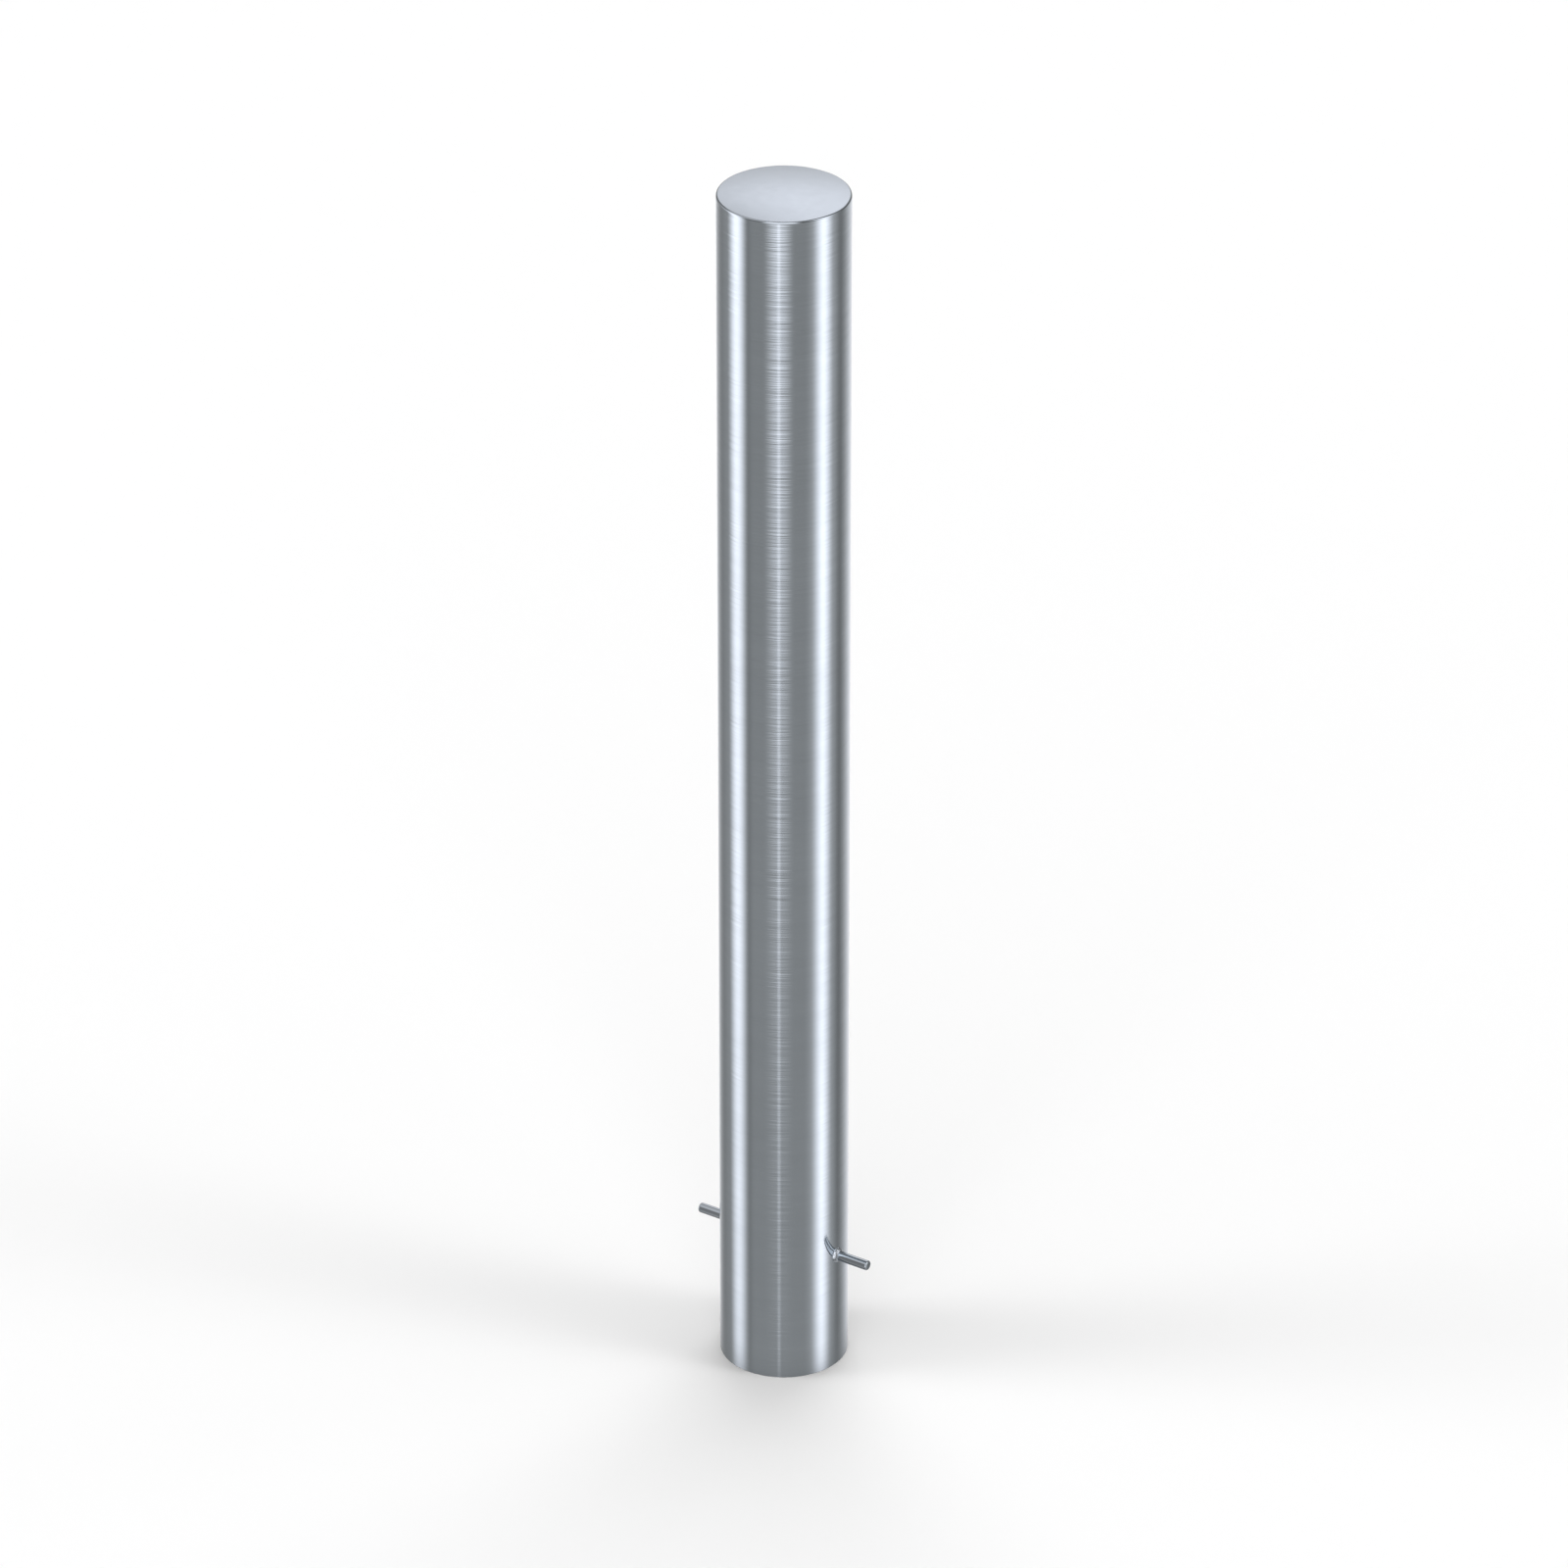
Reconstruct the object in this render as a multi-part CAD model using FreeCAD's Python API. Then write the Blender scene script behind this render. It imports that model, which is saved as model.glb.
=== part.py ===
import FreeCAD, Part
import math
import os

# Fixed bollard of stainless steel, to be set in concrete.
# A round tube stands on its sawn foot, a dished cap is welded on its top and ground flush,
# and a plain round bar goes through the tube near the foot, held by a fillet weld at each side.
# Millimetres. The origin is the centre of the tube's foot, +Z is up and +X is along the bar.

# Tube
TUBE_DIAMETER = 101.6
TUBE_WALL = 2.0
TUBE_LENGTH = 1006.0
FOOT_EDGE_BREAK = 0.3

# Cap, one disc of even thickness that is pressed into a shallow dome
CAP_THICKNESS = 3.0
CAP_RISE = 3.0
CAP_RIM_ROUND = 1.5

# Anchor bar
BAR_DIAMETER = 8.0
BAR_LENGTH = 160.0
BAR_HEIGHT = 100.0
BAR_CHAMFER = 0.8

# Room between the bar and the drilled holes, on the radius
HOLE_CLEARANCE = 0.25

# Fillet weld round the bar, measured along the bar and out over the tube
WELD_LEG = 2.5
WELD_CROWN = 0.3

tube_radius = TUBE_DIAMETER / 2
bore_radius = tube_radius - TUBE_WALL
bar_radius = BAR_DIAMETER / 2
hole_radius = bar_radius + HOLE_CLEARANCE

UP = FreeCAD.Vector(0, 0, 1)
ALONG_BAR = FreeCAD.Vector(1, 0, 0)
FOOT_CENTRE = FreeCAD.Vector(0, 0, 0)
BAR_CENTRE = FreeCAD.Vector(0, 0, BAR_HEIGHT)


def in_plan(radius, height):
    """A point of a profile that is turned about the tube's axis."""
    return FreeCAD.Vector(radius, 0, height)


def beside_bar(along, radius):
    """A point of a profile that is turned about the bar's axis."""
    return FreeCAD.Vector(along, 0, BAR_HEIGHT + radius)


def line(start, end):
    return Part.LineSegment(start, end).toShape()


def bowed(start, end, bow):
    """An arc from start to end whose middle stands bow away from the straight line, outwards."""
    outwards = FreeCAD.Vector(0, 1, 0).cross(end - start).normalize()
    middle = (start + end) * 0.5 + outwards * bow
    return Part.Arc(start, middle, end).toShape()


def loop(corners):
    """The closed outline of straight lines through the corners."""
    return [line(start, end) for start, end in zip(corners, corners[1:] + corners[:1])]


def turned(edges, centre, axis):
    """The solid made by a full turn of a closed profile."""
    return Part.Face(Part.Wire(edges)).revolve(centre, axis, 360)


def make_tube():
    """Tube with a deburred foot and a hole through each side for the bar."""
    corners = [
        in_plan(bore_radius + FOOT_EDGE_BREAK, 0),
        in_plan(tube_radius - FOOT_EDGE_BREAK, 0),
        in_plan(tube_radius, FOOT_EDGE_BREAK),
        in_plan(tube_radius, TUBE_LENGTH),
        in_plan(bore_radius, TUBE_LENGTH),
        in_plan(bore_radius, FOOT_EDGE_BREAK),
    ]
    pipe = turned(loop(corners), FOOT_CENTRE, UP)
    drill = Part.makeCylinder(
        hole_radius, TUBE_DIAMETER, BAR_CENTRE - ALONG_BAR * tube_radius, ALONG_BAR
    )
    return pipe.cut(drill)


class Ball:
    """Ball whose top stands as a dome of this rise on a circle of this radius and height.

    Its own poles point along the bar, which keeps them out of the dome.
    """

    def __init__(self, edge_radius, edge_height, rise):
        self.radius = (edge_radius**2 + rise**2) / (2 * rise)
        self.centre = in_plan(0, edge_height + rise - self.radius)
        self.solid = Part.makeSphere(self.radius, self.centre, ALONG_BAR)


def make_cap():
    """Shallow dome that sits on the tube's end, with its outer edge ground round."""
    dome = Ball(tube_radius, TUBE_LENGTH + CAP_THICKNESS, CAP_RISE)
    hollow = Ball(bore_radius, TUBE_LENGTH, CAP_RISE)

    # The rim's rounding touches the wall and the dome, so its centre lies inside both by its radius.
    round_radius = tube_radius - CAP_RIM_ROUND
    round_height = dome.centre.z + math.sqrt((dome.radius - CAP_RIM_ROUND) ** 2 - round_radius**2)
    round_centre = in_plan(round_radius, round_height)
    towards_dome = (round_centre - dome.centre).normalize()
    towards_corner = (towards_dome + in_plan(1, 0)).normalize()
    wall_end = in_plan(tube_radius, round_height)
    corner = round_centre + towards_corner * CAP_RIM_ROUND
    dome_start = round_centre + towards_dome * CAP_RIM_ROUND

    seat_start = in_plan(dome_start.x, TUBE_LENGTH)
    seat_end = in_plan(tube_radius, TUBE_LENGTH)
    rim_edges = [
        line(seat_start, seat_end),
        line(seat_end, wall_end),
        Part.Arc(wall_end, corner, dome_start).toShape(),
        line(dome_start, seat_start),
    ]
    rim = turned(rim_edges, FOOT_CENTRE, UP)
    blank = Part.makeCylinder(dome_start.x, CAP_THICKNESS + CAP_RISE, in_plan(0, TUBE_LENGTH))
    disc = blank.common(dome.solid).cut(hollow.solid)
    return rim.fuse(disc).removeSplitter()


def make_bar():
    """Plain round bar with both ends chamfered."""
    half_length = BAR_LENGTH / 2
    corners = [
        beside_bar(-half_length, 0),
        beside_bar(-half_length, bar_radius - BAR_CHAMFER),
        beside_bar(BAR_CHAMFER - half_length, bar_radius),
        beside_bar(half_length - BAR_CHAMFER, bar_radius),
        beside_bar(half_length, bar_radius - BAR_CHAMFER),
        beside_bar(half_length, 0),
    ]
    return turned(loop(corners), BAR_CENTRE, ALONG_BAR)


def make_weld():
    """Fillet weld round the bar at +X, whose foot follows the tube's curve."""
    toe_radius = bar_radius + WELD_LEG
    toe_along = math.sqrt(tube_radius**2 - toe_radius**2)
    root = beside_bar(bore_radius, bar_radius)
    tip = beside_bar(tube_radius + WELD_LEG, bar_radius)
    toe = beside_bar(toe_along, toe_radius)
    toe_inside = beside_bar(bore_radius, toe_radius)
    edges = [
        line(root, tip),
        bowed(tip, toe, WELD_CROWN),
        line(toe, toe_inside),
        line(toe_inside, root),
    ]
    ring = turned(edges, BAR_CENTRE, ALONG_BAR)
    return ring.cut(Part.makeCylinder(tube_radius, TUBE_LENGTH))


def make_parts():
    right_weld = make_weld()
    left_weld = right_weld.copy()
    left_weld.rotate(FOOT_CENTRE, UP, 180)
    return {
        "post_tube": make_tube(),
        "domed_cap": make_cap(),
        "anchor_bar": make_bar(),
        "anchor_weld_right": right_weld,
        "anchor_weld_left": left_weld,
    }


os.makedirs("parts", exist_ok=True)
for name, shape in make_parts().items():
    solid = shape.Solids[0]
    print(name, "volume", round(solid.Volume, 3), "valid", solid.isValid(), "box", solid.BoundBox)
    solid.exportStep(f"parts/{name}.step")
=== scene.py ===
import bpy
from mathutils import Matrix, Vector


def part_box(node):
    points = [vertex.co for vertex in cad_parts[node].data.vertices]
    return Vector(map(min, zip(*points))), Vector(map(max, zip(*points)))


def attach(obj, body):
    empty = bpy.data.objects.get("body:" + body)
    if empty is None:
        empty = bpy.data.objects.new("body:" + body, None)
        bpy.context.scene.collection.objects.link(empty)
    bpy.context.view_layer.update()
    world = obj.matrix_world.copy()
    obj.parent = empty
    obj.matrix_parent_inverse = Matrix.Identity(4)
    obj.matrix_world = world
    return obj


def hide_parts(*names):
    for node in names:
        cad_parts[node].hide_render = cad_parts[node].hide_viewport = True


bl_info = {
    "name": "Fixed Bollard Look",
    "version": (1, 0, 0),
    "blender": (4, 5, 0),
    "location": "3D View > Sidebar > Bollard",
    "description": "Dresses the packed fixed bollard in brushed steel and sets its stage",
    "category": "Object",
}

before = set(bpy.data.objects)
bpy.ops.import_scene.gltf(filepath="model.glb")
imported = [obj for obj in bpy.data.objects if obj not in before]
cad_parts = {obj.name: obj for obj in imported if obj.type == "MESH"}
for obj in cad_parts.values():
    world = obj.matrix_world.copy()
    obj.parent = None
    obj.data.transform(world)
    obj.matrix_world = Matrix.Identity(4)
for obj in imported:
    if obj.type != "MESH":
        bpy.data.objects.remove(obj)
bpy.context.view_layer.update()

import math

import bmesh
import bpy
from bpy.props import FloatProperty, FloatVectorProperty, IntProperty, PointerProperty
from bpy.types import Operator, Panel, PropertyGroup
from mathutils import Matrix, Vector

# Metres. The origin is the centre of the tube's foot, +Z is up and +X is along the bar.
# Sizes that model.glb holds are read from its parts, and the rest are this file's settings.
MM = 0.001

TUBE_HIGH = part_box("post_tube")[1]
CAP_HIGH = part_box("domed_cap")[1]
BAR_LOW, BAR_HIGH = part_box("anchor_bar")
WELD_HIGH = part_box("anchor_weld_right")[1]

TUBE_RADIUS = TUBE_HIGH.x
TUBE_TOP = TUBE_HIGH.z
CAP_TOP = CAP_HIGH.z
BAR_RADIUS = (BAR_HIGH.z - BAR_LOW.z) / 2
BAR_HEIGHT = (BAR_HIGH.z + BAR_LOW.z) / 2
BAR_END = BAR_HIGH.x
WELD_TIP = WELD_HIGH.x
WELD_TOE_RADIUS = WELD_HIGH.y

ALONG_BAR = Vector((1, 0, 0))
ACROSS_BAR = Vector((0, 1, 0))
UP = Vector((0, 0, 1))
BAR_CENTRE = Vector((0, 0, BAR_HEIGHT))

# How finely round shapes are divided
STEPS_ROUND_TUBE = 256
STEPS_ROUND_BAR = 96
STEPS_ROUND_WELD = 264
STEPS_ROUND_HOLE = 96
STEPS_BROKEN_EDGE = 4

# Corners closer than this are one, and an edge that bends more than this is sharp
SAME_CORNER = 0.001 * MM
SHARP_EDGE = math.radians(35)

# Above 50, which is even, the large faces count more in the shading
LARGE_FACE_WEIGHT = 100

# Long enough to come out at both sides of the tube
DRILL_LENGTH = 3 * TUBE_RADIUS

# How far the normal of an upright face may point up, and how far it points up where the dome begins
UPRIGHT = 0.05
DOME_EDGE = 0.985

# Further materials of the tube and of the cap, after the piece's own
BORE_FINISH = 1
WALL_FINISH = 1
RIM_FINISH = 2

# Ripples of a bead. Their spacing strays by waves, each with a height, a count round the bar and a
# start, and they bow across the bead. The powers round them and fade them at the bead's edges.
RIPPLE_STRAY = ((0.06, 3, 1), (0.03, 7, 0))
RIPPLE_BOW = 1.2
RIPPLE_ROUNDNESS = 0.6
RIPPLE_FADE = 0.5

# Octaves are the finer noises within a noise, half as large each time, and fineness is how
# strongly they show
LINE_OCTAVES = 4
LINE_FINENESS = 0.95
STREAK_FINENESS = 0.6
CLOUD_OCTAVES = 3
CLOUD_FINENESS = 0.55
GRAIN_OCTAVES = 2
GRAIN_FINENESS = 0.6

# Streaks are read this far from the lines, so that the two don't follow each other
STREAK_OFFSET = (3.7, 1.9, 5.3)

# Clouds and grains in a metre, and the values of a noise that count as none and as all
CLOUDS_PER_METRE = 12.0
GRAINS_PER_METRE = 2500.0
NOISE_NONE = 0.3
NOISE_ALL = 0.7

# Gloss changes this many times as much as tone
GLOSS_CHANGE = 3

# Sockets of a colour mix node
MIX_FACTOR = 0
MIX_A = 6
MIX_B = 7
MIX_RESULT = 2

WHITE = (1, 1, 1, 1)


# Shapes

class Outline:
    """A profile in the XZ plane, drawn from point to point and then turned into a solid."""

    def __init__(self, x, z):
        self.shape = bmesh.new()
        self.start = self.shape.verts.new((x, 0, z))
        self.end = self.start

    def line_to(self, x, z):
        """Goes straight on to a point."""
        corner = self.shape.verts.new((x, 0, z))
        self.shape.edges.new((self.end, corner))
        self.end = corner

    def arc(self, centre_x, centre_z, angle, steps):
        """Goes on along a circle, clockwise as seen from -Y with a positive angle."""
        made = bmesh.ops.spin(
            self.shape,
            geom=[self.end],
            cent=(centre_x, 0, centre_z),
            axis=ACROSS_BAR,
            angle=angle,
            steps=steps,
        )
        self.end = made["geom_last"][0]

    def close(self):
        """Goes straight back to where the profile began."""
        self.shape.edges.new((self.end, self.start))

    def turn(self, centre, axis, steps):
        """The solid of a full turn, as a bmesh."""
        shape = self.shape
        bmesh.ops.spin(
            shape,
            geom=shape.verts[:] + shape.edges[:],
            cent=centre,
            axis=axis,
            angle=2 * math.pi,
            steps=steps,
            use_merge=True,
        )
        bmesh.ops.remove_doubles(shape, verts=shape.verts, dist=SAME_CORNER)
        bmesh.ops.recalc_face_normals(shape, faces=shape.faces)
        return shape


def chord_arc(start, end, bow):
    """Centre, radius and angle of the arc over a chord, whose middle stands bow away from it."""
    half = (end - start).length / 2
    radius = (half * half + bow * bow) / (2 * bow)
    outwards = ACROSS_BAR.cross(start - end).normalized()
    centre = (start + end) / 2 - outwards * (radius - bow)
    return centre, 2 * math.asin(half / radius)


def even_shading(piece):
    """Lets large faces decide the shading, so that roundings don't bend what they mirror."""
    modifier = piece.modifiers.new("even_shading", "WEIGHTED_NORMAL")
    modifier.mode = "FACE_AREA"
    modifier.weight = LARGE_FACE_WEIGHT
    modifier.keep_sharp = True


def new_object(name, shape):
    """An object with this bmesh as its mesh, smooth except along its sharp edges."""
    mesh = bpy.data.meshes.new(name)
    shape.to_mesh(mesh)
    shape.free()
    mesh.shade_smooth()
    mesh.set_sharp_from_angle(angle=SHARP_EDGE)
    made = bpy.data.objects.new(name, mesh)
    bpy.context.scene.collection.objects.link(made)
    return made


def stand_for(piece, node):
    """The piece is shown in place of a CAD node, which is hidden, and hangs from the root body with
    even shading.
    """
    even_shading(piece)
    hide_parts(node)
    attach(piece, "root")


def drill(piece, radius):
    """Cuts the hole for the bar through both sides of the tube."""
    shape = bmesh.new()
    made = bmesh.ops.create_cone(
        shape,
        cap_ends=True,
        segments=STEPS_ROUND_HOLE,
        radius1=radius,
        radius2=radius,
        depth=DRILL_LENGTH,
    )
    lay_down = Matrix.Translation(BAR_CENTRE) @ Matrix.Rotation(math.pi / 2, 4, ACROSS_BAR)
    bmesh.ops.transform(shape, matrix=lay_down, verts=made["verts"])
    cutter = new_object("drill", shape)
    modifier = piece.modifiers.new("hole", "BOOLEAN")
    modifier.operation = "DIFFERENCE"
    modifier.solver = "EXACT"
    modifier.object = cutter
    cut = piece.evaluated_get(bpy.context.evaluated_depsgraph_get())
    whole, piece.data = piece.data, bpy.data.meshes.new_from_object(cut)
    piece.modifiers.clear()
    bpy.data.meshes.remove(whole)
    bpy.data.meshes.remove(cutter.data)

    # Where the drill meets a seam of the tube, the cut leaves corners on top of each other
    drilled = bmesh.new()
    drilled.from_mesh(piece.data)
    bmesh.ops.remove_doubles(drilled, verts=drilled.verts, dist=SAME_CORNER)
    drilled.to_mesh(piece.data)
    drilled.free()
    piece.data.set_sharp_from_angle(angle=SHARP_EDGE)


def make_tube_shape(tube):
    """The tube's wall with its rounded foot edges, and rings of edges close to the drilled holes."""
    bore = TUBE_RADIUS - tube.wall
    edge = tube.foot_edge
    outline = Outline(TUBE_RADIUS, TUBE_TOP)
    for height in (BAR_HEIGHT + tube.hole_margin, BAR_HEIGHT - tube.hole_margin, edge):
        outline.line_to(TUBE_RADIUS, height)
    outline.arc(TUBE_RADIUS - edge, edge, math.pi / 2, tube.edge_steps)
    outline.line_to(bore + edge, 0)
    outline.arc(bore + edge, edge, math.pi / 2, tube.edge_steps)
    for height in (BAR_HEIGHT - tube.hole_margin, BAR_HEIGHT + tube.hole_margin, TUBE_TOP):
        outline.line_to(bore, height)
    outline.close()
    return outline.turn(Vector(), UP, STEPS_ROUND_TUBE)


def make_cap_shape(cap):
    """A dished disc of even thickness whose outer edge is ground round."""
    dome_radius = (TUBE_RADIUS**2 + cap.rise**2) / (2 * cap.rise)
    dome_centre = CAP_TOP - dome_radius
    round_x = TUBE_RADIUS - cap.rim_round
    round_z = dome_centre + math.sqrt((dome_radius - cap.rim_round) ** 2 - round_x**2)
    slope = math.asin(round_x / (dome_radius - cap.rim_round))

    outline = Outline(0, CAP_TOP)
    outline.arc(0, dome_centre, slope, cap.dome_steps)
    outline.arc(round_x, round_z, math.pi / 2 - slope, cap.round_steps)
    outline.line_to(TUBE_RADIUS, TUBE_TOP)

    bore = TUBE_RADIUS - cap.seat_width
    hollow_radius = (bore**2 + cap.rise**2) / (2 * cap.rise)
    hollow_centre = TUBE_TOP + cap.rise - hollow_radius
    outline.line_to(bore, TUBE_TOP)
    outline.arc(0, hollow_centre, -math.asin(bore / hollow_radius), cap.dome_steps)
    return outline.turn(Vector(), UP, STEPS_ROUND_TUBE)


def make_bar_shape(bar):
    """A round bar with chamfered ends, whose corners are broken by a hair."""
    flat = BAR_RADIUS - bar.chamfer
    outline = Outline(-BAR_END, BAR_HEIGHT)
    outline.line_to(-BAR_END, BAR_HEIGHT + flat)
    outline.line_to(bar.chamfer - BAR_END, BAR_HEIGHT + BAR_RADIUS)
    outline.line_to(BAR_END - bar.chamfer, BAR_HEIGHT + BAR_RADIUS)
    outline.line_to(BAR_END, BAR_HEIGHT + flat)
    outline.line_to(BAR_END, BAR_HEIGHT)
    shape = outline.turn(BAR_CENTRE, ALONG_BAR, STEPS_ROUND_BAR)
    corners = [edge for edge in shape.edges if edge.calc_face_angle(0) > SHARP_EDGE]
    bmesh.ops.bevel(
        shape,
        geom=corners,
        offset=bar.broken_edge,
        affect="EDGES",
        segments=STEPS_BROKEN_EDGE,
        profile=0.5,
        material=-1,
    )
    return shape


def ripple_height(turn, share, weld):
    """How far the bead stands out, from 0 to 1, at a turn and a share of the way to the toe."""
    stray = sum(height * math.sin(waves * turn + start) for height, waves, start in RIPPLE_STRAY)
    swept = weld.ripples * (turn + stray) / 2 + RIPPLE_BOW * (share - 0.5) ** 2
    return abs(math.sin(swept)) ** RIPPLE_ROUNDNESS * math.sin(math.pi * share) ** RIPPLE_FADE


def make_weld_shape(weld):
    """The bead at +X, a crowned and rippled fillet round the bar whose toe follows the tube."""
    leg = WELD_TOE_RADIUS - BAR_RADIUS
    tip = Vector((WELD_TIP, 0, BAR_HEIGHT + BAR_RADIUS))
    toe = Vector((TUBE_RADIUS, 0, BAR_HEIGHT + WELD_TOE_RADIUS))
    centre, angle = chord_arc(toe, tip, weld.crown)
    outline = Outline(toe.x, toe.z)
    outline.arc(centre.x, centre.z, angle, weld.crown_steps)
    outline.line_to(tip.x, tip.z - weld.root_depth)
    outline.line_to(toe.x - weld.root_depth, tip.z - weld.root_depth)
    outline.line_to(toe.x - weld.root_depth, toe.z)
    outline.close()
    shape = outline.turn(BAR_CENTRE, ALONG_BAR, STEPS_ROUND_WELD)
    shape.normal_update()

    # The toe goes back to the tube's round side, and the face between tip and toe gets its ripples
    for vertex in shape.verts:
        across = vertex.co.y
        off_axis = math.hypot(across, vertex.co.z - BAR_HEIGHT)
        share = min(max((off_axis - BAR_RADIUS) / leg, 0), 1)
        turn = math.atan2(across, vertex.co.z - BAR_HEIGHT)
        out = vertex.normal * ripple_height(turn, share, weld) * weld.ripple_depth
        hollow = TUBE_RADIUS - math.sqrt(TUBE_RADIUS**2 - across**2)
        on_face = vertex.co.x > TUBE_RADIUS - weld.root_depth / 2
        vertex.co.x -= hollow * (share if on_face else 1)
        if 0 < share < 1:
            vertex.co += out
    return shape


# Surface effects that several materials share

def socket(group, name, direction, kind="NodeSocketFloat", default=None):
    """A named input or output of a node group."""
    made = group.interface.new_socket(name=name, in_out=direction, socket_type=kind)
    if default is not None:
        made.default_value = default


def add_node(tree, kind, inputs=None, **options):
    """A node with its options set, and each named input given a value or a link."""
    made = tree.nodes.new(kind)
    for option, value in options.items():
        setattr(made, option, value)
    for name, value in (inputs or {}).items():
        if isinstance(value, bpy.types.NodeSocket):
            tree.links.new(value, made.inputs[name])
        else:
            made.inputs[name].default_value = value
    return made


def maths(tree, operation, *values):
    """The result of one maths node."""
    inputs = dict(enumerate(values))
    return add_node(tree, "ShaderNodeMath", inputs, operation=operation).outputs[0]


def vector_maths(tree, operation, *vectors, result="Vector"):
    """One result of a vector maths node."""
    inputs = dict(enumerate(vectors))
    return add_node(tree, "ShaderNodeVectorMath", inputs, operation=operation).outputs[result]


def spread(tree, value, low, high, to_low, to_high, kind="LINEAR"):
    """A value from one range brought to another."""
    inputs = {
        "Value": value, "From Min": low, "From Max": high, "To Min": to_low, "To Max": to_high,
    }
    return add_node(tree, "ShaderNodeMapRange", inputs, interpolation_type=kind).outputs["Result"]


def noise(tree, vector, octaves, fineness, scale=1.0):
    """Noise that rises and falls about a middle of 0.5."""
    inputs = {"Vector": vector, "Scale": scale, "Detail": octaves, "Roughness": fineness}
    return add_node(tree, "ShaderNodeTexNoise", inputs).outputs["Fac"]


def mixed(tree, share, first, second):
    """A colour between two others, by the share of the second."""
    inputs = {MIX_FACTOR: share, MIX_A: first, MIX_B: second}
    return add_node(tree, "ShaderNodeMix", inputs, data_type="RGBA").outputs[MIX_RESULT]


def mixed_shader(tree, share, first, second):
    """A shader between two others, by the share of the second."""
    return add_node(tree, "ShaderNodeMixShader", {0: share, 1: first, 2: second}).outputs[0]


def brush_lines_group():
    """Lines left by an abrasive belt, fine ones within broad ones, counted in a metre by axis."""
    name = "Brush Lines"
    if name in bpy.data.node_groups:
        return bpy.data.node_groups[name]
    group = bpy.data.node_groups.new(name, "ShaderNodeTree")
    socket(group, "Position", "INPUT", "NodeSocketVector")
    socket(group, "Line Counts", "INPUT", "NodeSocketVector")
    socket(group, "Height", "OUTPUT")
    socket(group, "Streaks", "OUTPUT")
    given = group.nodes.new("NodeGroupInput").outputs
    place = vector_maths(group, "MULTIPLY", given["Position"], given["Line Counts"])
    height = noise(group, place, LINE_OCTAVES, LINE_FINENESS)
    beside = vector_maths(group, "ADD", place, STREAK_OFFSET)
    streaks = noise(group, beside, LINE_OCTAVES, STREAK_FINENESS)
    streaks = spread(group, streaks, NOISE_NONE, NOISE_ALL, 0, 1)
    add_node(group, "NodeGroupOutput", {"Height": height, "Streaks": streaks})
    return group


def handling_group():
    """Soft clouds where steel was touched and wiped, and a fine grain over all of it."""
    name = "Handling Marks"
    if name in bpy.data.node_groups:
        return bpy.data.node_groups[name]
    group = bpy.data.node_groups.new(name, "ShaderNodeTree")
    socket(group, "Position", "INPUT", "NodeSocketVector")
    socket(group, "Cloud Scale", "INPUT", default=CLOUDS_PER_METRE)
    socket(group, "Grain Scale", "INPUT", default=GRAINS_PER_METRE)
    socket(group, "Clouds", "OUTPUT")
    socket(group, "Grain", "OUTPUT")
    given = group.nodes.new("NodeGroupInput").outputs
    place = given["Position"]
    clouds = noise(group, place, CLOUD_OCTAVES, CLOUD_FINENESS, given["Cloud Scale"])
    clouds = spread(group, clouds, NOISE_NONE, NOISE_ALL, 0, 1, "SMOOTHSTEP")
    grain = noise(group, place, GRAIN_OCTAVES, GRAIN_FINENESS, given["Grain Scale"])
    add_node(group, "NodeGroupOutput", {"Clouds": clouds, "Grain": grain})
    return group


def effect(tree, group, inputs):
    """The outputs of a shared effect, with these inputs."""
    return add_node(tree, "ShaderNodeGroup", inputs, node_tree=group).outputs


def bumped(tree, height, depth, normal=None):
    """The normal of a relief, on top of another one if that is given."""
    inputs = {"Height": height, "Strength": 1.0, "Distance": depth}
    if normal:
        inputs["Normal"] = normal
    return add_node(tree, "ShaderNodeBump", inputs).outputs["Normal"]


def steel(name, finish, line_fade=0):
    """Bare stainless steel with lines and grain as relief, and an uneven tone and gloss."""
    material = bpy.data.materials.new(name)
    material.use_nodes = True
    tree = material.node_tree
    shader = tree.nodes["Principled BSDF"]
    shader.inputs["Metallic"].default_value = 1.0

    position = add_node(tree, "ShaderNodeTexCoord").outputs["Object"]
    counts = [1 / size for size in finish.line_size]
    lines = effect(tree, brush_lines_group(), {"Position": position, "Line Counts": counts})
    marks = effect(tree, handling_group(), {"Position": position})
    both = maths(tree, "ADD", lines["Streaks"], marks["Clouds"])
    clean = maths(tree, "MULTIPLY", both, 0.5)

    bright = (*finish.colour, 1)
    dull = (*[channel * (1 - finish.unevenness) for channel in finish.colour], 1)
    tree.links.new(mixed(tree, clean, dull, bright), shader.inputs["Base Color"])
    change = GLOSS_CHANGE * finish.unevenness
    rough = finish.roughness * (1 + change)
    smooth = finish.roughness * (1 - change)
    tree.links.new(spread(tree, clean, 0, 1, rough, smooth), shader.inputs["Roughness"])

    height = add_node(tree, "ShaderNodeSeparateXYZ", {"Vector": position}).outputs["Z"]
    pressed = spread(tree, height, 0, TUBE_TOP, 1 - line_fade, 1)
    relief = bumped(tree, maths(tree, "MULTIPLY", lines["Height"], pressed), finish.line_depth)
    relief = bumped(tree, marks["Grain"], finish.grain_depth, relief)
    tree.links.new(relief, shader.inputs["Normal"])
    return material


# Settings

def length(name, description, default):
    """A length in metres."""
    return FloatProperty(
        name=name, description=description, default=default, min=0, unit="LENGTH", precision=6
    )


def lengths(name, description, default):
    """A length along each axis."""
    return FloatVectorProperty(
        name=name, description=description, default=default, subtype="XYZ_LENGTH", precision=6
    )


def factor(name, description, default):
    """A share from 0 to 1."""
    return FloatProperty(
        name=name, description=description, default=default, min=0, max=1, subtype="FACTOR"
    )


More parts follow.
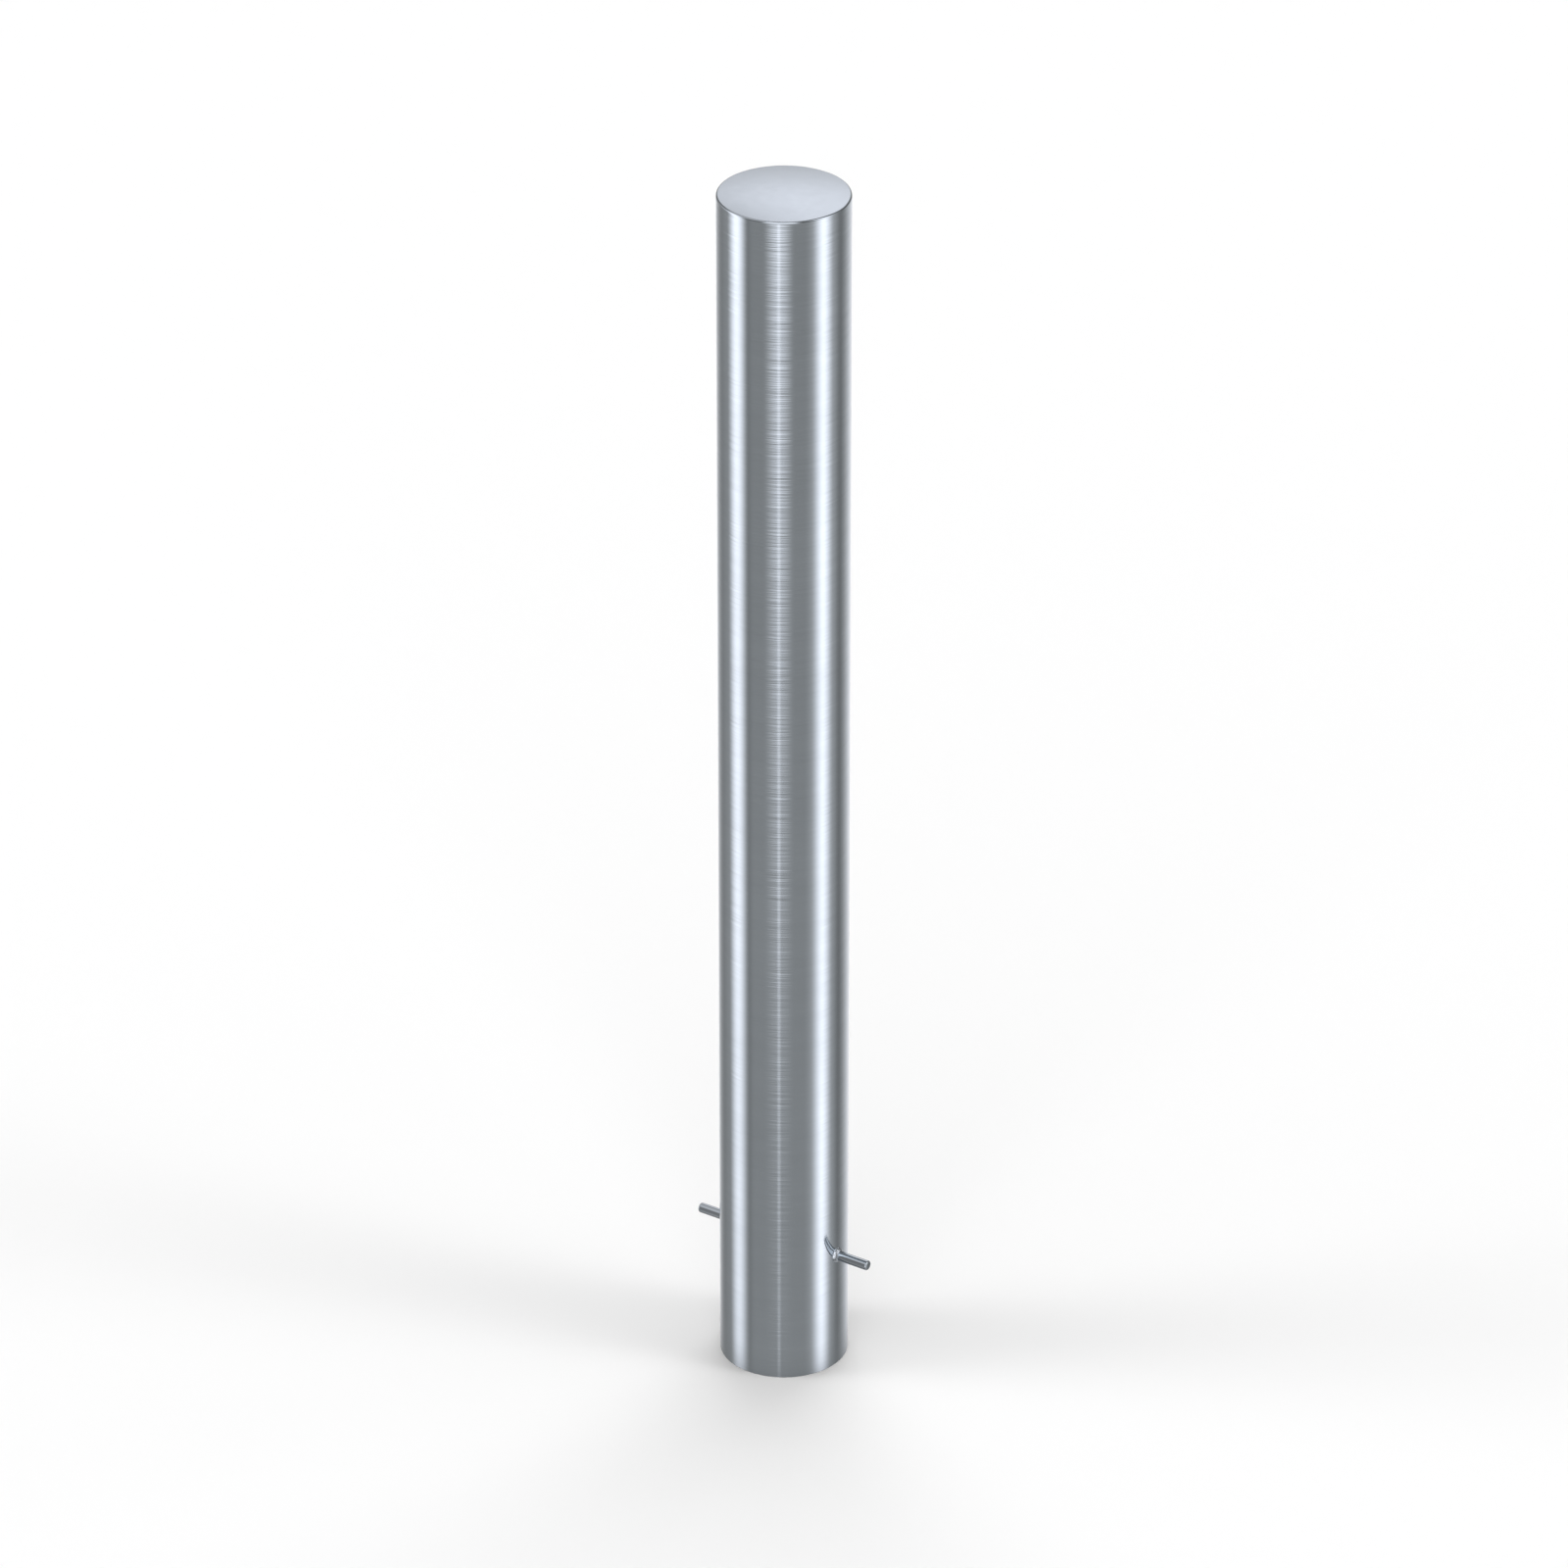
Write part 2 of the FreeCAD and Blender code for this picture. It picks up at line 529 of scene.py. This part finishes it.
def rgb(description, default):
    """A colour."""
    return FloatVectorProperty(
        name="Colour", description=description, default=default, subtype="COLOR", min=0, max=1
    )


def degrees(name, description, default):
    """An angle, whose default is given in degrees."""
    return FloatProperty(
        name=name, description=description, default=math.radians(default), subtype="ANGLE"
    )


def count(name, description, default):
    """A whole number from 1 on."""
    return IntProperty(name=name, description=description, default=default, min=1)


def uneven(default):
    """How uneven a finish is."""
    return factor("Unevenness", "How much tone and gloss change from place to place", default)


class TubeSettings(PropertyGroup):
    wall: length("Wall", "Thickness of the tube's wall", 2 * MM)
    foot_edge: length("Foot Edge", "Radius of the deburred edges at the foot", 0.3 * MM)
    edge_steps: count("Edge Steps", "Faces across a deburred edge", 3)
    hole_clearance: length("Hole Clearance", "Room between bar and hole, on the radius", 0.25 * MM)
    hole_margin: length("Hole Margin", "Half height of the band of faces round the holes", 6 * MM)
    colour: rgb("Colour of the brushed steel", (0.577, 0.626, 0.667))
    roughness: factor("Roughness", "Roughness between the brushed lines", 0.1)
    line_size: lengths("Line Size", "Broadest brushed lines by axis", (400 * MM, 400 * MM, 12 * MM))
    line_depth: length("Line Depth", "Depth of the broadest brushed lines", 0.22 * MM)
    line_fade: factor("Line Fade", "How much shallower the lines are at the foot", 0.7)
    grain_depth: length("Grain Depth", "Depth of the grain between the lines", 0.0002 * MM)
    unevenness: uneven(0.09)


class BoreSettings(PropertyGroup):
    colour: rgb("Colour of the tube's inside, as it came from the mill", (0.42, 0.46, 0.49))
    roughness: factor("Roughness", "Roughness of the tube's inside", 0.42)
    line_size: lengths("Line Size", "Broadest mill marks by axis", (16 * MM, 16 * MM, 60 * MM))
    line_depth: length("Line Depth", "Depth of the mill marks", 0.05 * MM)
    grain_depth: length("Grain Depth", "Depth of the grain", 0.002 * MM)
    unevenness: uneven(0.15)


class CapSettings(PropertyGroup):
    rise: length("Rise", "Height of the dome above its rim", 3 * MM)
    seat_width: length("Seat Width", "Width of the ring that sits on the tube", 2 * MM)
    rim_round: length("Rim Rounding", "Radius of the ground outer edge", 1.5 * MM)
    dome_steps: count("Dome Steps", "Rings of faces in the dome", 24)
    round_steps: count("Rounding Steps", "Rings of faces in the rim", 10)
    colour: rgb("Colour of the cap's steel", (0.57, 0.615, 0.66))
    roughness: factor("Roughness", "Roughness of the satin cap", 0.25)
    line_size: lengths("Line Size", "Broadest polishing marks by axis", (8 * MM, 8 * MM, 8 * MM))
    line_depth: length("Line Depth", "Depth of the polishing marks", 0.004 * MM)
    grain_depth: length("Grain Depth", "Depth of the satin grain", 0.0003 * MM)
    unevenness: uneven(0.03)


class RimSettings(PropertyGroup):
    colour: rgb("Colour of the cap's ground edge", (0.47, 0.51, 0.545))
    roughness: factor("Roughness", "Roughness of the ground edge", 0.12)
    line_size: lengths("Line Size", "Broadest grinding by axis", (40 * MM, 40 * MM, 0.8 * MM))
    line_depth: length("Line Depth", "Depth of the grinding lines", 0.002 * MM)
    grain_depth: length("Grain Depth", "Depth of the grain between the lines", 0.0003 * MM)
    unevenness: uneven(0.08)


class BarSettings(PropertyGroup):
    chamfer: length("Chamfer", "Chamfer of both ends", 0.8 * MM)
    broken_edge: length("Broken Edge", "Width of the softened corners", 0.4 * MM)
    colour: rgb("Colour of the drawn bar", (0.5, 0.54, 0.575))
    roughness: factor("Roughness", "Roughness of the drawn bar", 0.09)
    line_size: lengths("Line Size", "Broadest drawing lines by axis", (160 * MM, 3 * MM, 3 * MM))
    line_depth: length("Line Depth", "Depth of the drawing lines", 0.004 * MM)
    grain_depth: length("Grain Depth", "Depth of the grain between the lines", 0.0002 * MM)
    unevenness: uneven(0.06)


class WeldSettings(PropertyGroup):
    crown: length("Crown", "Height of the bead above a straight fillet", 0.3 * MM)
    crown_steps: count("Crown Steps", "Faces across the bead", 12)
    root_depth: length("Root Depth", "How deep the bead goes into bar and tube", 0.15 * MM)
    ripples: count("Ripples", "Ripples round the bead", 22)
    ripple_depth: length("Ripple Depth", "Height of the ripples", 0.12 * MM)
    colour: rgb("Colour of the weld metal", (0.54, 0.58, 0.615))
    roughness: factor("Roughness", "Roughness of the bead", 0.12)
    line_size: lengths("Line Size", "Broadest wire brush marks by axis", (2 * MM, 2 * MM, 2 * MM))
    line_depth: length("Line Depth", "Depth of the wire brush's marks", 0.012 * MM)
    grain_depth: length("Grain Depth", "Depth of the grain", 0.001 * MM)
    unevenness: uneven(0.12)


class StageSettings(PropertyGroup):
    camera_turn: degrees("Camera Turn", "Direction of the camera, from the side across the bar", 33.82)
    camera_pitch: degrees("Camera Pitch", "How far the camera looks down", 28.681)
    camera_distance: length("Camera Distance", "From the camera to where it looks", 7.0632)
    aim_height: length("Aim Height", "Height on the post that the camera looks at", 0.5082)
    lens: FloatProperty(name="Lens", description="Focal length", default=210.46, unit="CAMERA")
    light: FloatProperty(name="Light", description="Strength of the studio", default=1.0, min=0)
    floor_size: length("Floor Size", "Half width of the floor", 60)
    floor_colour: rgb("Colour of the floor", (0.9, 0.9, 0.9))
    # The next three set the painted shadow: close to the foot, reflections find a faint grey glow in
    # the floor instead of the studio
    painted_shadow_reach: length("Contact Reach", "How far the mirrored shadow reaches", 25 * MM)
    painted_shadow_share: factor("Contact Shade", "Share of the mirrored light hidden at the foot", 0.54)
    painted_shadow_glow: factor("Contact Light", "Light of the mirrored shadow", 0.26)


# Pieces

class BOLLARD_OT_make_tube(Operator):
    """Make the brushed tube with its drilled holes"""

    bl_idname = "bollard.make_tube"
    bl_label = "Make Tube"

    def execute(self, context):
        tube = context.scene.bollard_tube
        piece = new_object("brushed_tube", make_tube_shape(tube))
        drill(piece, BAR_RADIUS + tube.hole_clearance)
        piece.data.materials.append(steel("brushed_tube_steel", tube, tube.line_fade))
        piece.data.materials.append(steel("bore_mill_steel", context.scene.bollard_bore))
        wall_middle = TUBE_RADIUS - tube.wall / 2
        for face in piece.data.polygons:
            if math.hypot(face.center.x, face.center.y) < wall_middle:
                face.material_index = BORE_FINISH
        stand_for(piece, "post_tube")
        return {"FINISHED"}


class BOLLARD_OT_make_cap(Operator):
    """Make the dished cap with its ground rim"""

    bl_idname = "bollard.make_cap"
    bl_label = "Make Cap"

    def execute(self, context):
        cap = context.scene.bollard_cap
        piece = new_object("satin_cap", make_cap_shape(cap))
        piece.data.materials.append(steel("satin_cap_steel", cap))
        piece.data.materials.append(bpy.data.materials["brushed_tube_steel"])
        piece.data.materials.append(steel("ground_rim_steel", context.scene.bollard_rim))
        for face in piece.data.polygons:
            outside = math.hypot(face.center.x, face.center.y) > TUBE_RADIUS - cap.rim_round
            if outside and abs(face.normal.z) < UPRIGHT:
                face.material_index = WALL_FINISH
            elif outside and 0 < face.normal.z < DOME_EDGE:
                face.material_index = RIM_FINISH
        stand_for(piece, "domed_cap")
        return {"FINISHED"}


class BOLLARD_OT_make_bar(Operator):
    """Make the round bar that anchors the post in concrete"""

    bl_idname = "bollard.make_bar"
    bl_label = "Make Anchor Bar"

    def execute(self, context):
        bar = context.scene.bollard_bar
        piece = new_object("drawn_bar", make_bar_shape(bar))
        piece.data.materials.append(steel("drawn_bar_steel", bar))
        stand_for(piece, "anchor_bar")
        return {"FINISHED"}


class BOLLARD_OT_make_welds(Operator):
    """Make the weld beads at both sides of the tube"""

    bl_idname = "bollard.make_welds"
    bl_label = "Make Welds"

    def execute(self, context):
        weld = context.scene.bollard_weld
        finish = steel("weld_bead_steel", weld)
        for side, turn in (("right", 0), ("left", math.pi)):
            shape = make_weld_shape(weld)
            to_side = Matrix.Rotation(turn, 3, UP)
            bmesh.ops.rotate(shape, cent=(0, 0, 0), matrix=to_side, verts=shape.verts)
            piece = new_object(f"weld_bead_{side}", shape)
            piece.data.materials.append(finish)
            stand_for(piece, f"anchor_weld_{side}")
        return {"FINISHED"}


# Stage

# Light panels round the post, in degrees. A turn goes from the camera's direction to its right, a
# width is measured at half strength, an edge is how far a side takes to fade, and each stop is a tilt
# from the horizon with the strength there. The steel mirrors the first set, which goes on below the
# floor, and the second set lights the floor.
MIRRORED = {
    "surround": {
        "turn": 0, "width": 720, "edge": 2,
        "stops": (
            (-84, 0.5), (-70, 0.46), (-58, 0.15), (-40, 0.2), (-34, 0.26), (-32, 0.22), (-30, 0.2),
            (-26, 0.22), (0, 0.22), (40, 0.17), (58, 0.14), (66, 0.18), (74, 0.65), (90, 0.8),
        ),
    },
    "right strip": {
        "turn": 70.8, "width": 22.5, "edge": 24,
        "stops": ((-60, 0.45), (-37, 0.84), (-32, 1.0), (-24, 1.05), (0, 1.05), (54, 1.2), (66, 0)),
    },
    "right glow": {
        "turn": 75.2, "width": 41, "edge": 41,
        "stops": ((-60, 0.2), (-34, 0.34), (-30, 0.49), (-24, 0.52), (54, 0.5), (66, 0)),
    },
    "left strip": {
        "turn": -88.1, "width": 26.2, "edge": 24.9,
        "stops": (
            (-60, 0.1), (-46, 0.3), (-37, 0.84), (-34, 0.93), (-32, 0.97), (-30, 1.13), (-28, 1.25),
            (-24, 1.35), (26, 1.35), (38, 0),
        ),
    },
    "left glow": {
        "turn": -104.2, "width": 53, "edge": 47.2,
        "stops": ((-60, 0.1), (-32, 0.13), (-30, 0.18), (-24, 0.14), (-18, 0.5), (10, 0.6), (24, 0)),
    },
    "left high": {
        "turn": -100, "width": 110, "edge": 50,
        "stops": ((26, 0), (36, 0.3), (46, 0.7), (60, 0.6), (90, 0.1)),
    },
    "front panel": {
        "turn": -8.8, "width": 28, "edge": 28,
        "stops": (
            (-32, 0), (-30, 0.12), (-28, 0.28), (-26, 0.56), (-24, 0.81), (-21, 1.08), (-15, 0.9),
            (5, 0),
        ),
    },
    "front high": {
        "turn": -5, "width": 58, "edge": 14,
        "stops": (
            (-20, 0), (-12, 0.9), (0, 1.2), (8, 0.9), (24, 0.9), (34, 1.4), (46, 1.8), (55, 1.8),
            (64, 0),
        ),
    },
    "front core": {
        "turn": -8.8, "width": 5, "edge": 2,
        "stops": ((-34, 0.08), (-32, 0.2), (-30, 0.31), (-28, 0.36), (-24, 0.3), (-15, 0.2), (8, 0)),
    },
    "front wash": {
        "turn": -3, "width": 117.5, "edge": 17,
        "stops": (
            (-45, 0.05), (-34, 0.12), (-32, 0.12), (-30, 0.16), (-26, 0.11), (-20, 0.1), (0, 0.05),
            (20, 0),
        ),
    },
    "back wall": {
        "turn": 170.2, "width": 69, "edge": 55,
        "stops": (
            (-60, 0.05), (-44, 0.25), (-36, 0.6), (-28, 0.75), (-24, 0.66), (-16, 0.35), (-5, 0.15),
            (5, 0),
        ),
    },
    "back panel": {
        "turn": 179.5, "width": 34, "edge": 34,
        "stops": ((0, 0), (8, 0.45), (18, 0.63), (24, 1.02), (28, 0.98), (34, 0.12), (36, 0)),
    },
    "back high": {
        "turn": 159, "width": 55, "edge": 18,
        "stops": ((24, 0), (28, 0.17), (34, 0.93), (36, 1.02), (46, 1.02), (53, 0)),
    },
}
FALLING = {
    "surround": {"turn": 0, "width": 720, "edge": 2, "stops": ((0, 0.15),)},
    "right strip": {
        "turn": 71.8, "width": 15.5, "edge": 27,
        "stops": ((10, 2.54), (30, 5), (40, 5), (60, 2.93)),
    },
    "left strip": {
        "turn": -86.5, "width": 22, "edge": 22,
        "stops": ((10, 2.26), (30, 3.96), (40, 3.96), (60, 1.75)),
    },
    "front panel": {
        "turn": -8, "width": 54, "edge": 16,
        "stops": ((7, 0.5), (17, 1.54), (55, 1.54), (75, 0)),
    },
    "back panel": {
        "turn": 169.5, "width": 72, "edge": 35,
        "stops": ((32, 1.11), (52, 2.46), (65, 2.46), (85, 0)),
    },
    "right back": {
        "turn": 100, "width": 30, "edge": 20,
        "stops": ((10, 0), (30, 0.56), (60, 0.56), (80, 0)),
    },
    "right front": {
        "turn": 45, "width": 30, "edge": 20,
        "stops": ((10, 0), (30, 0.47), (60, 0.47), (80, 0)),
    },
    "left front": {
        "turn": -55, "width": 30, "edge": 20,
        "stops": ((10, 0), (30, 0.68), (60, 0.68), (80, 0)),
    },
}

# A ramp holds at most 1, so strengths go into it as shares of the strongest one
STRONGEST = 5.0
STRAIGHT_UP = 90

# The mirrored light gets a little bluer between two strengths
BRIGHT_TINT = (1.005, 1.0, 1.045, 1)
TINT_NONE = 0.35
TINT_ALL = 1.0


def strength_over_tilt(tree, height, stops):
    """The strength of a panel at a height from 0, straight down, to 1, straight up."""
    node = add_node(tree, "ShaderNodeValToRGB", {"Fac": height})
    elements = node.color_ramp.elements
    while len(elements) < len(stops):
        elements.new(0.5)
    while len(elements) > len(stops):
        elements.remove(elements[-1])
    for element, (tilt, strength) in zip(elements, stops):
        element.position = (tilt + STRAIGHT_UP) / (2 * STRAIGHT_UP)
        element.color = (*[strength / STRONGEST] * 3, 1)
    return node.outputs["Color"]


def panel_light(tree, turn, height, panels, camera_turn):
    """The light of all panels together, by direction."""
    light = 0
    for panel in panels.values():
        away = maths(tree, "SUBTRACT", turn, camera_turn + math.radians(panel["turn"]))
        away = maths(tree, "ABSOLUTE", maths(tree, "WRAP", away, math.pi, -math.pi))
        full = math.radians(panel["width"] - panel["edge"]) / 2
        none = math.radians(panel["width"] + panel["edge"]) / 2
        mask = spread(tree, away, full, none, 1, 0, "SMOOTHSTEP")
        strength = strength_over_tilt(tree, height, panel["stops"])
        light = maths(tree, "MULTIPLY_ADD", mask, strength, light)
    return light


def light_studio(stage):
    """Panels all round the post, and plain white behind everything that the camera sees."""
    world = bpy.data.worlds.new("studio")
    world.use_nodes = True
    world.cycles.sampling_method = "NONE"
    tree = world.node_tree
    tree.nodes.clear()
    direction = add_node(tree, "ShaderNodeTexCoord").outputs["Generated"]
    parts = add_node(tree, "ShaderNodeSeparateXYZ", {"Vector": direction}).outputs
    backwards = maths(tree, "MULTIPLY", parts["Y"], -1)
    turn = maths(tree, "ARCTAN2", parts["X"], backwards)
    height = spread(tree, maths(tree, "ARCSINE", parts["Z"]), -math.pi / 2, math.pi / 2, 0, 1)

    shaders = []
    for panels, bright in ((FALLING, WHITE), (MIRRORED, BRIGHT_TINT)):
        light = panel_light(tree, turn, height, panels, stage.camera_turn)
        strength = maths(tree, "MULTIPLY", light, STRONGEST * stage.light)
        tint = mixed(tree, spread(tree, strength, TINT_NONE, TINT_ALL, 0, 1), WHITE, bright)
        shader = add_node(tree, "ShaderNodeBackground", {"Color": tint, "Strength": strength})
        shaders.append(shader.outputs[0])
    falling, mirrored = shaders
    backdrop = add_node(tree, "ShaderNodeBackground", {"Color": WHITE}).outputs[0]

    path = add_node(tree, "ShaderNodeLightPath").outputs
    seen = mixed_shader(tree, path["Is Glossy Ray"], falling, mirrored)
    seen = mixed_shader(tree, path["Is Camera Ray"], seen, backdrop)
    add_node(tree, "ShaderNodeOutputWorld", {"Surface": seen})
    bpy.context.scene.world = world


def floor_material(stage):
    """Matt and pale. The steel mirrors the studio through it, and close to the foot a painted shadow,
    a faint grey glow.
    """
    material = bpy.data.materials.new("pale_floor")
    material.use_nodes = True
    tree = material.node_tree
    matt = tree.nodes["Principled BSDF"]
    matt.inputs["Base Color"].default_value = (*stage.floor_colour, 1)
    matt.inputs["Roughness"].default_value = 1.0
    matt.inputs["Specular IOR Level"].default_value = 0.0

    position = add_node(tree, "ShaderNodeTexCoord").outputs["Object"]
    distance = vector_maths(tree, "LENGTH", position, result="Value")
    away = maths(tree, "DIVIDE", maths(tree, "SUBTRACT", TUBE_RADIUS, distance), stage.painted_shadow_reach)
    nearness = maths(tree, "EXPONENT", away)
    hidden = maths(tree, "MULTIPLY", nearness, stage.painted_shadow_share)

    # Painted shadow: only reflections see it, a faint grey glow that replaces the studio close to the
    # foot and fades away from the tube
    clear = add_node(tree, "ShaderNodeBsdfTransparent").outputs[0]
    shadow = add_node(tree, "ShaderNodeEmission", {"Strength": stage.painted_shadow_glow}).outputs[0]
    below = mixed_shader(tree, hidden, clear, shadow)
    mirrored = add_node(tree, "ShaderNodeLightPath").outputs["Is Glossy Ray"]
    seen = mixed_shader(tree, mirrored, matt.outputs[0], below)
    tree.links.new(seen, tree.nodes["Material Output"].inputs["Surface"])
    return material


def lay_floor(stage):
    """One large plane under the foot."""
    shape = bmesh.new()
    bmesh.ops.create_grid(shape, x_segments=1, y_segments=1, size=stage.floor_size)
    floor = new_object("floor", shape)
    floor.data.materials.append(floor_material(stage))


def place_camera(stage):
    """The photograph's view, aimed at the post's axis."""
    data = bpy.data.cameras.new("photo_view")
    data.lens = stage.lens
    camera = bpy.data.objects.new("photo_view", data)
    reach = stage.camera_distance * math.cos(stage.camera_pitch)
    camera.location = (
        reach * math.sin(stage.camera_turn),
        -reach * math.cos(stage.camera_turn),
        stage.aim_height + stage.camera_distance * math.sin(stage.camera_pitch),
    )
    camera.rotation_euler = (math.pi / 2 - stage.camera_pitch, 0, stage.camera_turn)
    bpy.context.scene.collection.objects.link(camera)
    bpy.context.scene.camera = camera


class BOLLARD_OT_set_stage(Operator):
    """Lay the floor, light the studio and place the camera"""

    bl_idname = "bollard.set_stage"
    bl_label = "Set Stage"

    def execute(self, context):
        stage = context.scene.bollard_stage
        lay_floor(stage)
        light_studio(stage)
        place_camera(stage)
        context.scene.view_settings.view_transform = "Standard"
        context.scene.cycles.caustics_reflective = False
        return {"FINISHED"}


class VIEW3D_PT_bollard(Panel):
    bl_label = "Fixed Bollard"
    bl_space_type = "VIEW_3D"
    bl_region_type = "UI"
    bl_category = "Bollard"

    def draw(self, context):
        for operator, groups in MAKING:
            box = self.layout.box()
            for group in groups:
                settings = getattr(context.scene, group)
                for name in settings.bl_rna.properties.keys():
                    if name not in ("rna_type", "name"):
                        box.prop(settings, name)
            box.operator(operator)


# Each operator with the scene properties that hold its settings, in the order of making
MAKING = (
    ("bollard.make_tube", ("bollard_tube", "bollard_bore")),
    ("bollard.make_cap", ("bollard_cap", "bollard_rim")),
    ("bollard.make_bar", ("bollard_bar",)),
    ("bollard.make_welds", ("bollard_weld",)),
    ("bollard.set_stage", ("bollard_stage",)),
)

SETTINGS = {
    "bollard_tube": TubeSettings,
    "bollard_bore": BoreSettings,
    "bollard_cap": CapSettings,
    "bollard_rim": RimSettings,
    "bollard_bar": BarSettings,
    "bollard_weld": WeldSettings,
    "bollard_stage": StageSettings,
}

CLASSES = (
    *SETTINGS.values(),
    BOLLARD_OT_make_tube,
    BOLLARD_OT_make_cap,
    BOLLARD_OT_make_bar,
    BOLLARD_OT_make_welds,
    BOLLARD_OT_set_stage,
    VIEW3D_PT_bollard,
)


def register():
    for cls in CLASSES:
        bpy.utils.register_class(cls)
    for name, settings in SETTINGS.items():
        setattr(bpy.types.Scene, name, PointerProperty(type=settings))


def unregister():
    for name in SETTINGS:
        delattr(bpy.types.Scene, name)
    for cls in reversed(CLASSES):
        bpy.utils.unregister_class(cls)


def main():
    """Makes the pieces and the stage."""
    register()
    bpy.ops.bollard.make_tube()
    bpy.ops.bollard.make_cap()
    bpy.ops.bollard.make_bar()
    bpy.ops.bollard.make_welds()
    bpy.ops.bollard.set_stage()


if __name__ == "__main__":
    main()
